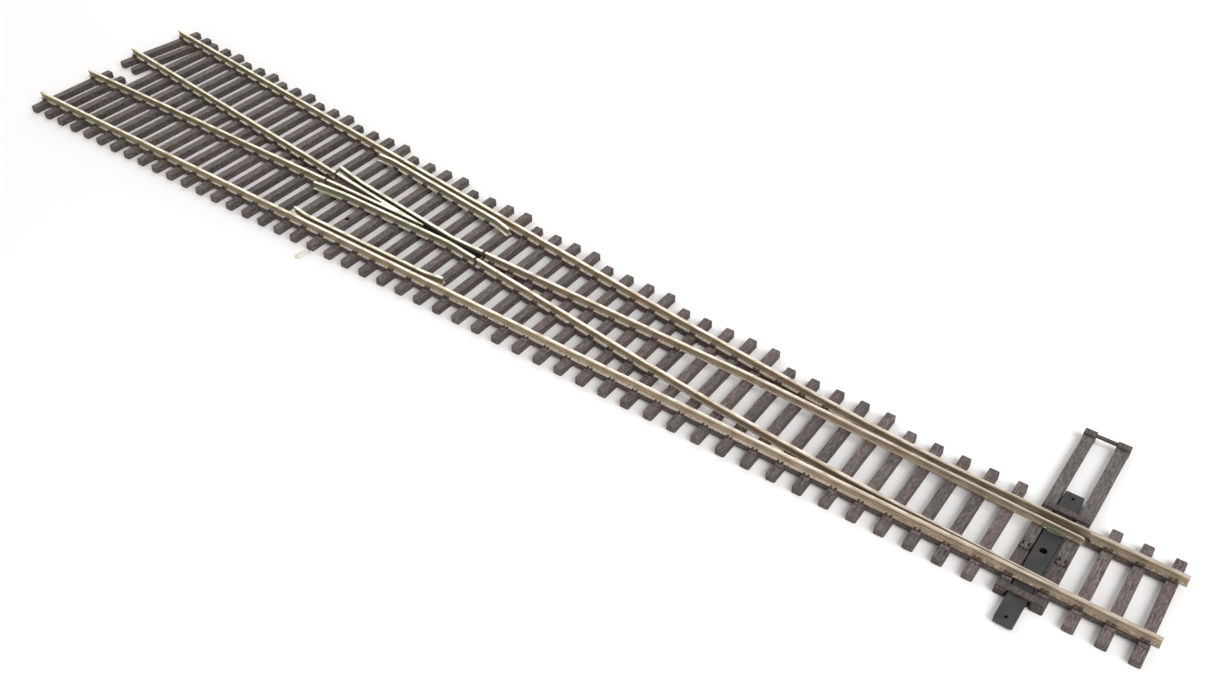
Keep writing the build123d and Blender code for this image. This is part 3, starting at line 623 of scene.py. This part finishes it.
for x in end_tie_x:
    verts, faces = tie_shell(rng, -tie_end_standard, tie_end_standard)
    ties.add(turned(verts, -frog_angle, x, diverging_centre_y(x)), faces, rng.uniform(-1, 1))
ties.piece("ties", tie_material, "track", "tie_strip", "tie_plastic")
holed_tie = holed.piece("tie_with_fixing_hole", tie_material, "track", "tie_strip", "tie_plastic")
hole_turns = np.linspace(0, 2 * math.pi, 24, endpoint=False)
hole_ring = [(nail_hole[0] + drawn_hole_radius * math.cos(a), nail_hole[1] + drawn_hole_radius * math.sin(a))
             for a in hole_turns]
below_ties, above_ties = -1.0, 3.0
cut_with(holed_tie, [loft([[(u, v, z) for u, v in hole_ring] for z in (below_ties, above_ties)])])

# Headblock ties in two halves, with a hooked tongue of the long half let into the stub
neck, hook, hook_length = 1.0, 1.9, 0.9


def tongue_boxes(middle, grow):
    return [box_shell(middle - neck / 2 - grow, middle + neck / 2 + grow, seam_y - 0.6,
                      tongue_end - hook_length + 0.1, below_ties, above_ties, 0.02, 1),
            box_shell(middle - hook / 2 - grow, middle + hook / 2 + grow, tongue_end - hook_length - grow,
                      tongue_end + grow, below_ties, above_ties, 0.02, 1)]


burrs = Shells()
burr_faces = box_shell(-1, 1, -1, 1, -1, 1, 0.05, 2)[1]
for number, (x, width) in enumerate(zip(headblock_tie_x, headblock_tie_width)):
    stub = Shells()
    verts, faces = tie_shell(rng, seam_y, headblock_near_end, width, round_low=False)
    stub.add(turned(verts, 0.0, x), faces, 0.1)
    piece = stub.piece("headblock_stub_%d" % number, stub_material, "track", "tie_strip", "tie_plastic")
    for cutter in tongue_boxes(x, tongue_clearance):
        cut_with(piece, [cutter])
    long_tie = Shells()
    verts, faces = tie_shell(rng, headblock_far_end, seam_y - seam_gap, width, round_high=False)
    long_tie.add(turned(verts, 0.0, x), faces, 0.0)
    verts, faces = tie_shell(rng, seam_y - 0.5, tongue_end - 0.2, neck, round_low=False, round_high=False)
    long_tie.add(turned(verts, 0.0, x), faces, -0.1)
    verts, faces = box_shell(x - hook / 2, x + hook / 2, tongue_end - hook_length, tongue_end, 0,
                             tie_height + 0.05, 0.10, 3)
    long_tie.add(verts, faces, -0.5)
    for turn in np.linspace(-0.5, math.pi + 0.5, 8):
        bump_x = x + 0.55 * hook * math.cos(turn) + rng.uniform(-0.06, 0.06)
        bump_y = tongue_end - 0.6 * hook_length + 0.78 * math.sin(turn) + rng.uniform(-0.06, 0.06)
        half_x, half_y = rng.uniform(0.10, 0.17), rng.uniform(0.12, 0.26)
        burr = box_shell(-half_x, half_x, -half_y, half_y, -0.3, rng.uniform(0.10, 0.22), 0.05, 2)[0]
        burr = turned(burr, rng.uniform(-0.6, 0.6), bump_x, bump_y, tie_height)
        burrs.add(burr, burr_faces, rng.uniform(-1, 0))
    long_tie.piece("headblock_tie_%d" % number, headblock_material, "track", "headblock_long", "tie_plastic")
burrs.piece("seam_burrs", spike_material, "track", "headblock_long", "tie_plastic", 50.0)

# Straps over the throw bar, raised blocks and end bar
bay_low = headblock_tie_x[0] - headblock_tie_width[0] / 2
bay_high = headblock_tie_x[1] + headblock_tie_width[1] / 2
strap_rise = 0.55
strap_low = 1.86
strap_middle = 2.0


def strap_shells(y, width):
    """Strap with a sloping ridge that holds the throw bar down, and the bridge under the bar."""
    top = tie_height + strap_rise
    section = [(-width / 2, strap_low), (width / 2, strap_low), (width / 2, top - 0.22)]
    section += corner(width / 2 - 0.20, top - 0.20, 0.18, 0, 90, 4)
    section += corner(-width / 2 + 0.20, top - 0.20, 0.18, 90, 180, 4)
    xs = np.linspace(bay_low + 0.1, bay_high - 0.1, 40)
    sway = smooth_noise(rng, len(section), len(xs), 9) * 0.02
    rings = []
    for j, x in enumerate(xs):
        end = min(x - xs[0], xs[-1] - x)
        shrink = 0.08 * max(0.0, 1 - end / 0.25)
        ring = []
        for i, (u, v) in enumerate(section):
            lift = sway[i, j] - shrink if v > strap_middle else 0.0
            ring.append((x, y + u * (1 - shrink / width), v + lift))
        rings.append(ring)
    return [loft(rings), box_shell(bay_low + 0.3, bay_high - 0.3, y - width / 2, y + width / 2, 0, 0.35)]


near_strap = Shells()
for verts, faces in strap_shells(strap_near_y, strap_width):
    near_strap.add(verts, faces, 0.2)
near_strap.piece("near_strap", strap_material, "track", "tie_strip", "tie_plastic")
far_strap = Shells()
for verts, faces in strap_shells(strap_far_y, strap_width):
    far_strap.add(verts, faces, 0.0)
block_length, block_rise, block_side = 1.7, 0.65, 0.1
block_overlap = 0.02             # keeps the far faces of blocks and ties out of one plane
for x, width in zip(headblock_tie_x, headblock_tie_width):
    verts, faces = box_shell(x - width / 2 - block_side, x + width / 2 + block_side,
                             headblock_far_end - block_overlap, headblock_far_end + block_length,
                             0.0, tie_height + block_rise, 0.16, 3)
    far_strap.add(verts, faces, 1.0)
bar_low_y = headblock_far_end + 0.35
bar_width, bar_low_z, bar_high_z = 0.85, 1.75, 2.35
verts, faces = box_shell(headblock_tie_x[0], headblock_tie_x[1], bar_low_y, bar_low_y + bar_width,
                         bar_low_z, bar_high_z, 0.10, 3)
far_strap.add(verts, faces, 0.6)
far_strap.piece("headblock_fittings", strap_material, "track", "headblock_long", "tie_plastic")


# ---------------------------------------------------------------- curves of the rails
stock_centre = (0.0, -rail_y - stock_bend_radius)
first_end_x = stock_bend_radius * math.sin(first_turn)
first_end_y = stock_centre[1] + stock_bend_radius * math.cos(first_turn)
second_radius = (frog_right_y(first_end_x) - first_end_y) * cosine / (1 - math.cos(frog_angle - first_turn))
second_centre = (first_end_x - second_radius * math.sin(first_turn),
                 first_end_y - second_radius * math.cos(first_turn))
second_end_x = second_centre[0] + second_radius * sine
closure_centre = (closure_tangent_x - closure_radius * sine,
                  frog_left_y(closure_tangent_x) - closure_radius * cosine)


def right_stock_y(x):
    if x < 0:
        return -rail_y
    if x < first_end_x:
        return stock_centre[1] + math.sqrt(stock_bend_radius ** 2 - (x - stock_centre[0]) ** 2)
    if x < second_end_x:
        return second_centre[1] + math.sqrt(second_radius ** 2 - (x - second_centre[0]) ** 2)
    return frog_right_y(x)


def left_closure_y(x):
    if x < closure_tangent_x:
        return closure_centre[1] + math.sqrt(closure_radius ** 2 - (x - closure_centre[0]) ** 2)
    return frog_left_y(x)


def left_stock_y(x):
    return rail_y


def right_closure_y(x):
    return -rail_y


def heading(line, x):
    return math.atan2(line(x + 0.5) - line(x - 0.5), 1.0)


def bent_line(points, radius=14.0):
    """Function y(x) through corners that are rounded off."""
    def y_at(x):
        for (xa, ya), (xb, yb) in zip(points, points[1:]):
            if x <= xb or (xb, yb) == points[-1]:
                value = ya + (yb - ya) * (x - xa) / (xb - xa)
                break
        for (xa, ya), (xb, yb), (xc, yc) in zip(points, points[1:], points[2:]):
            before = (yb - ya) / (xb - xa)
            after = (yc - yb) / (xc - xb)
            reach = abs(after - before) * radius / 2
            if abs(x - xb) < reach:
                t = (x - xb + reach) / (2 * reach)
                value = yb + before * (x - xb) + (after - before) * reach * t * t
        return value
    return y_at


wing_left_y = -gauge / 2 + flangeway + half_head
wing_toe_x = toe_gap_x + rail_gap / 2
knuckle_left_x = frog_x - (wing_left_y - half_head / cosine + gauge / 2) / slope
wing_shift = (flangeway + half_head) / cosine
knuckle_right_x = frog_x + (half_head - wing_shift) / slope
wing_flare_x = wing_end_x - wing_flare_length
left_wing_line = bent_line([(wing_toe_x, frog_left_y(wing_toe_x)), (knuckle_left_x, wing_left_y),
                            (wing_flare_x, wing_left_y), (wing_end_x, wing_left_y + wing_flare)])
right_wing_line = bent_line([(wing_toe_x, -rail_y), (knuckle_right_x, -rail_y),
                             (wing_flare_x, frog_gauge_y(wing_flare_x) - wing_shift),
                             (wing_end_x, frog_gauge_y(wing_end_x) - wing_shift - wing_flare)])
left_guard_y = rail_y - guard_offset
guard_shift = guard_offset / cosine
guard_low_x = guard_start_x + guard_flare_length
guard_high_x = guard_end_x - guard_flare_length
left_guard_line = bent_line([(guard_start_x, left_guard_y - guard_flare), (guard_low_x, left_guard_y),
                             (guard_high_x, left_guard_y), (guard_end_x, left_guard_y - guard_flare)])
right_guard_line = bent_line([(guard_start_x, frog_right_y(guard_start_x) + guard_shift + guard_flare),
                              (guard_low_x, frog_right_y(guard_low_x) + guard_shift),
                              (guard_high_x, frog_right_y(guard_high_x) + guard_shift),
                              (guard_end_x, frog_right_y(guard_end_x) + guard_shift + guard_flare)])


# ---------------------------------------------------------------- rails
def rail_section():
    """Flat-bottomed rail section with rounded head, filleted web and sloping foot, from -v to +v."""
    half_web = 0.22
    head_low = rail_height - head_depth
    side = corner(half_foot - 0.05, 0.05, 0.05, -90, 0, 3)
    side += corner(half_foot - 0.05, 0.17, 0.05, 0, 70, 3)
    side += [(0.55, 0.31), (0.38, 0.375)]
    side += [(half_web + 0.07, 0.43), (half_web + 0.02, 0.50), (half_web, 0.60)]
    side += [(half_web, 1.05), (half_web, head_low - 0.12), (half_web + 0.03, head_low - 0.03)]
    side += [(half_web + 0.10, head_low + 0.03)]
    side += corner(half_head - 0.04, head_low + 0.13, 0.04, -50, 0, 3)
    side += corner(half_head - 0.11, rail_height - 0.12, 0.11, 0, 78, 5)
    side += [(0.17, rail_height - 0.003), (0.0, rail_height)]
    other = [(-u, v) for u, v in reversed(side[:-1])]
    return side + other


section = np.array(rail_section())
foot_part = section[:, 1] < 0.45


def rail_shell(line, xs, shape=None):
    """Rail swept along y = line(x). shape(x, y, z) may push each point in or out."""
    rings = []
    for x in xs:
        angle = heading(line, x)
        ring = []
        for (u, v), in_foot in zip(section, foot_part):
            px, py, pz = x - u * math.sin(angle), line(x) + u * math.cos(angle), rail_base + v
            if shape is not None:
                py = shape(px, py, pz, in_foot, line(x))
            ring.append((px, py, pz))
        rings.append(ring)
    return loft(rings)


def stations(x_low, x_high, spacing=2.0, extra=()):
    count = max(3, int((x_high - x_low) / spacing))
    inside = set(e for e in extra if x_low < e < x_high)
    return np.array(sorted(set(np.linspace(x_low, x_high, count)) | inside))


# Beside the points the stock rails' feet are milled away, and their heads are notched for the point tips.
# A notch has a length, a depth at its start and a slope. It starts earlier in the web than in the head.
notch_start_x = -2.0
notch_web_lead = 0.35
notch_head_lead = 0.1
left_notch_length, left_notch_depth, left_notch_slope = 28, 0.30, 0.0107
right_notch_length, right_notch_depth, right_notch_slope = 40, 0.37, 0.0085
mill_start_x = -2.7
sole_clearance = 0.01            # the point clips slide under the stock rails
mill_end_x = 53.0


def notch_start(z):
    return notch_start_x - (notch_web_lead if z < rail_top - head_depth else notch_head_lead)


def left_stock_shape(x, y, z, in_foot, centre):
    if in_foot and mill_start_x < x < mill_end_x:
        y = max(y, gauge / 2)
    if notch_start(z) < x < notch_start_x + left_notch_length:
        y = max(y, gauge / 2 + left_notch_depth - left_notch_slope * (x - notch_start_x))
    return y


def right_stock_shape(x, y, z, in_foot, centre):
    if in_foot and mill_start_x < x < mill_end_x:
        y = min(y, centre + half_head)
    if notch_start(z) < x < notch_start_x + right_notch_length:
        y = min(y, -gauge / 2 - right_notch_depth - right_notch_slope * (x - notch_start_x))
    return y


jump = 0.03
stock_marks = [mill_start_x - jump, mill_start_x + jump, mill_end_x - jump, mill_end_x + jump]
for edge in (notch_start_x - notch_web_lead, notch_start_x - notch_head_lead):
    stock_marks += [edge - jump, edge + jump]
short_of_end = 0.2               # the diverging rails end square to their own line, a little short
left_end_x = rail_end_x - short_of_end + rail_y * sine
right_end_x = rail_end_x - short_of_end - rail_y * sine


def rail_piece(name, line, x_low, x_high, node, material, shape=None, extra=(), spacing=2.0):
    rail = Shells()
    verts, faces = rail_shell(line, stations(x_low, x_high, spacing, extra), shape)
    verts[verts[:, 2] < rail_base + sole_clearance, 2] += sole_clearance
    rail.add(verts, faces)
    return rail.piece(name, material, "track", node, "rail_metal", 30.0)


rail_piece("rail_stock_left", left_stock_y, rail_start_x, rail_end_x, "stock_rail_left", rail_material,
           left_stock_shape, stock_marks)
rail_piece("rail_stock_right", right_stock_y, rail_start_x, right_end_x, "stock_rail_right", rail_material,
           right_stock_shape, stock_marks)
rail_piece("rail_exit_straight", right_closure_y, heel_gap_x + rail_gap / 2, rail_end_x,
           "exit_rail_straight", rail_material)
rail_piece("rail_exit_diverging", frog_left_y, heel_gap_x + rail_gap / 2, left_end_x,
           "exit_rail_diverging", rail_material)
rail_piece("rail_guard_left", left_guard_line, guard_start_x, guard_end_x, "guard_rail_left",
           frog_material, spacing=0.6)
rail_piece("rail_guard_right", right_guard_line, guard_start_x, guard_end_x, "guard_rail_right",
           frog_material, spacing=0.6)
rail_piece("rail_wing_left", left_wing_line, wing_toe_x, wing_end_x, "wing_rail_left", frog_material,
           spacing=0.6)
rail_piece("rail_wing_right", right_wing_line, wing_toe_x, wing_end_x, "wing_rail_right", frog_material,
           spacing=0.6)


# Each closure rail and its point are one flexing rail: the points are planed to fit the stock rails
tip_out, tip_width, tip_inset = 0.19, 0.36, 0.17
tip_taper_length = 3.5
left_planing_slope = 0.0238
right_tip_out = 0.32


def narrow_foot(x, y, in_foot, centre):
    return max(centre - half_head, min(centre + half_head, y)) if in_foot and x < full_foot_end_x else y


def left_point_shape(x, y, z, in_foot, centre):
    y = narrow_foot(x, y, in_foot, centre)
    along = x - point_tip_x
    y = min(y, gauge / 2 + tip_out - left_planing_slope * along)
    if along < tip_taper_length and not in_foot:
        widening = (gauge / 2 - tip_inset - centre + half_head) * along / tip_taper_length
        y = max(y, gauge / 2 + tip_out - tip_width - widening)
    return y


def right_point_shape(x, y, z, in_foot, centre):
    y = narrow_foot(x, y, in_foot, centre)
    return max(y, -gauge / 2 - right_tip_out - right_notch_slope * (x - point_tip_x))


tip_radius = 0.8


def round_tip(verts):
    """Rounds the upper corner of a point rail's tip."""
    along = verts[:, 0] - point_tip_x
    inside = along < tip_radius
    drop = tip_radius - np.sqrt(np.clip(tip_radius ** 2 - (tip_radius - along) ** 2, 0, None))
    limit = rail_top - drop
    verts[:, 2] = np.where(inside & (verts[:, 2] > limit), limit, verts[:, 2])
    return verts


toe_x = toe_gap_x - rail_gap / 2
point_marks = list(point_tip_x + tip_radius * (1 - np.cos(np.radians([15, 30, 45, 60, 75, 90]))))
point_marks += [full_foot_end_x - jump, full_foot_end_x + jump, point_tip_x + tip_taper_length]
for side, line, shape in (("left", left_closure_y, left_point_shape),
                          ("right", right_closure_y, right_point_shape)):
    verts, faces = rail_shell(line, stations(point_tip_x, toe_x, 1.5, point_marks), shape)
    verts = round_tip(verts)
    if side == "right":
        t = np.clip((flex_hinge_x + flex_half_length - verts[:, 0]) / (2 * flex_half_length), 0, 1)
        bend = -throw_angle * t * t * (3 - 2 * t)
        dx, dy = verts[:, 0] - flex_hinge_x, verts[:, 1] + rail_y
        verts = np.column_stack((flex_hinge_x + dx * np.cos(bend) - dy * np.sin(bend),
                                 -rail_y + dx * np.sin(bend) + dy * np.cos(bend), verts[:, 2]))
    nodes = ["closure_rail_" + side, "point_rail_" + side]
    piece = make_piece("rail_point_" + side, verts, faces, rail_material, None, nodes,
                       np.zeros(len(verts)), 30.0)
    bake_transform(piece)


# ---------------------------------------------------------------- tie plates, spikes and webs
def spike_template():
    """Spike with its head hooked over the rail foot, facing -y, standing beside the foot edge at y 0."""
    profile = [(0.05, -0.1), (0.38, -0.1), (0.39, 0.34)]
    profile += corner(0.21, 0.50, 0.18, 0, 80, 5)
    profile += [(0.0, 0.72), (-0.20, 0.74)]
    profile += corner(-0.32, 0.62, 0.09, 75, 180, 4)
    profile += [(-0.38, 0.50), (-0.05, 0.385), (0.05, 0.30)]
    xs = (-0.36, -0.33, -0.25, 0.25, 0.33, 0.36)
    insets = (0.10, 0.03, 0.0, 0.0, 0.03, 0.10)
    rings = []
    for x, inset in zip(xs, insets):
        ring = []
        for u, v in profile:
            towards = np.array([0.05, 0.40]) - np.array([u, v])
            shift = inset * towards / max(np.linalg.norm(towards), 1e-6)
            ring.append((x, u + shift[0], v + shift[1] if v > 0 else v))
        rings.append(ring)
    return loft(rings)


spike_verts, spike_faces = spike_template()
plate_verts, plate_faces = box_shell(-0.95, 0.95, -1.35, 1.35, -0.05, 0.15, 0.04, 2)
spikes = Shells()
far_spikes = Shells()
plates = Shells()
plate_reach = 0.75               # a plate reaches further out beyond the outer spikes
low_spikes_x = (18, 150)         # the near rail's outer spikes look lower here in the photo
low_spike_size = 0.70


def fasten(x, y, sides, angle=0.0, group=spikes):
    plate = plate_verts.copy()
    outer = sides[0] if len(sides) == 1 else (1 if y > 0 else -1)
    plate[:, 1] += np.where(plate[:, 1] * outer > 0, plate_reach * outer, 0.0)
    plates.add(turned(plate, angle, x, y, tie_height), plate_faces, rng.uniform(-1, 1))
    for side in sides:
        for along in (-0.50, 0.50):
            is_low = y == rail_y and side > 0 and low_spikes_x[0] < x < low_spikes_x[1]
            size = low_spike_size if is_low else 1.0
            verts = spike_verts * (rng.uniform(0.92, 1.08) * size, 1.0, rng.uniform(0.94, 1.04) * size)
            verts = verts + (along + rng.uniform(-0.06, 0.06), half_foot, 0)
            verts = verts * (1, side, 1)
            group.add(turned(verts, angle, x, y, tie_height), spike_faces, rng.uniform(-1, 1))


vee_end_x = heel_gap_x - rail_gap / 2
all_tie_x = sorted([t[0] for t in tie_list] + list(headblock_tie_x))
for x in all_tie_x:
    beside_point = mill_start_x - 1.2 < x < mill_end_x
    on_end = x in end_tie_x
    guarded = guard_start_x - 1 < x < guard_end_x + 1
    outer_only = beside_point or guarded
    fasten(x, rail_y, (1,) if outer_only else (1, -1))
    if not on_end:
        group = far_spikes if x in headblock_tie_x else spikes
        fasten(x, right_stock_y(x), (-1,) if outer_only else (1, -1), heading(right_stock_y, x), group)
    if guard_low_x < x < guard_high_x:
        fasten(x, left_guard_y, (-1,))
        fasten(x, frog_right_y(x) + guard_shift, (1,), -frog_angle)
    if x < full_foot_end_x:
        continue
    if wing_toe_x < x < vee_end_x:
        if x < knuckle_left_x:
            fasten(x, frog_left_y(x), (1,), -frog_angle)
            fasten(x, -rail_y, (-1,))
        elif x < wing_flare_x:
            fasten(x, wing_left_y, (1,))
            fasten(x, frog_gauge_y(x) - wing_shift, (-1,), -frog_angle)
    else:
        fasten(x, -rail_y, (1, -1))
        if not on_end:
            fasten(x, left_closure_y(x), (1, -1), heading(left_closure_y, x))
for x in end_tie_x:
    for offset_y in (rail_y, -rail_y):
        fasten(x + offset_y * sine, diverging_centre_y(x) + offset_y * cosine, (1, -1), -frog_angle)
spikes.piece("spikes", spike_material, "track", "tie_strip", "tie_plastic", 50.0)
far_spikes.piece("headblock_spikes", spike_material, "track", "headblock_long", "tie_plastic", 50.0)

for x in all_tie_x:
    if headblock_tie_x[1] + 1 < x < full_foot_end_x:
        for y in (left_closure_y(x) - 0.6, -rail_y + 0.7):
            verts, faces = box_shell(-0.7, 0.7, -1.6, 1.6, -0.08, 0.12, 0.04, 2)
            plates.add(turned(verts, 0.0, x, y, tie_height), faces, rng.uniform(-1, 1))
plates.piece("tie_plates", tie_material, "track", "tie_strip", "tie_plastic")

webs = Shells()


def web(line, x_low, x_high):
    """Thin strip under a rail that joins the ties, narrower between them."""
    rings = []
    for x in stations(x_low, x_high, 0.8):
        angle = heading(line, x)
        half = 0.75 - 0.04 * math.sin(2 * math.pi * x / tie_pitch)
        outline = corner(half - 0.08, 1.62, 0.08, 0, 90, 3) + corner(-half + 0.08, 1.62, 0.08, 90, 180, 3)
        outline += [(-half, 0.45), (half, 0.45)]
        rings.append([(x - u * math.sin(angle), line(x) + u * math.cos(angle), v) for u, v in outline])
    webs.add(*loft(rings), 0.0)


last_x = max(end_tie_x)
first_web = full_foot_end_x + 0.5
web(left_stock_y, -3 * tie_pitch, headblock_tie_x[0])
web(left_stock_y, headblock_tie_x[1], last_x)
web(right_stock_y, -3 * tie_pitch, bay_low - seam_gap)
web(right_stock_y, first_step_tie_x, last_x)
web(right_closure_y, first_web, last_x)
web(left_closure_y, first_web, last_x)
webs.piece("tie_webs", tie_material, "track", "tie_strip", "tie_plastic")


# ---------------------------------------------------------------- solder on the clips
def solder_blob(x, y, z, length, height):
    """Small frozen drop of solder lying along the rail."""
    work = bmesh.new()
    bmesh.ops.create_icosphere(work, subdivisions=3, radius=1.0)
    verts, faces = shell_of(work)
    ripple = 1 + 0.10 * np.sin(5 * verts[:, 0] + 2 * verts[:, 2]) + 0.06 * np.sin(9 * verts[:, 2])
    size = np.array((length / 2, 0.12, height / 2))
    return verts * ripple[:, None] * size + (x, y, z), faces


for side in ("left", "right"):
    solder = Shells()
    for x, length in ((6.15, 0.7), (2.35, 0.4)):
        if side == "left":
            y = left_closure_y(x) - half_head - 0.18
        else:
            opening = throw_distance * (flex_hinge_x - x) / (flex_hinge_x - throw_bar_x)
            y = -rail_y + half_head + 0.18 + opening
        solder.add(*solder_blob(x, y, rail_base + 0.28, length, 0.42), 0.0)
    solder.piece("solder_" + side, solder_material, "point_" + side, None, "clip_metal", 80.0)

finishes = {
    "throw_bar": bar_material,
    "frog_point": frog_material,
    "frog_filler": filler_material,
    "gap_insulators": strap_material,
    "pivot_pin_left": clip_material,
    "pivot_pin_right": clip_material,
    "frog_feeder_wire": wire_material,
    "jumper_toe_left": wire_material,
    "jumper_toe_right": wire_material,
    "jumper_heel_left": wire_material,
    "jumper_heel_right": wire_material,
    "point_clip_left": clip_material,
    "point_clip_right": clip_material,
}
for node, material in finishes.items():
    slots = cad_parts[node].material_slots
    if len(slots) == 0:
        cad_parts[node].data.materials.append(material)
    for material_slot in slots:
        material_slot.material = material

# ---------------------------------------------------------------- floor
floor_mesh = bpy.data.meshes.new("floor")
reach = 3.0
floor_mesh.from_pydata([(-reach, -reach, 0), (reach, -reach, 0), (reach, reach, 0), (-reach, reach, 0)], [],
                       [(0, 1, 2, 3)])
floor = bpy.data.objects.new("floor", floor_mesh)
scene.collection.objects.link(floor)
paper = Shader("pale_paper", roughness=0.9, specular=0.1)
fibres = paper.noise((900, 900, 900), 3, 0.6)
paper_colour = paper.mix(fibres, (0.90, 0.89, 0.885), (0.92, 0.91, 0.905))
paper.bump(fibres, 0.05, 0.00002)
floor_mesh.materials.append(paper.finish(paper_colour))
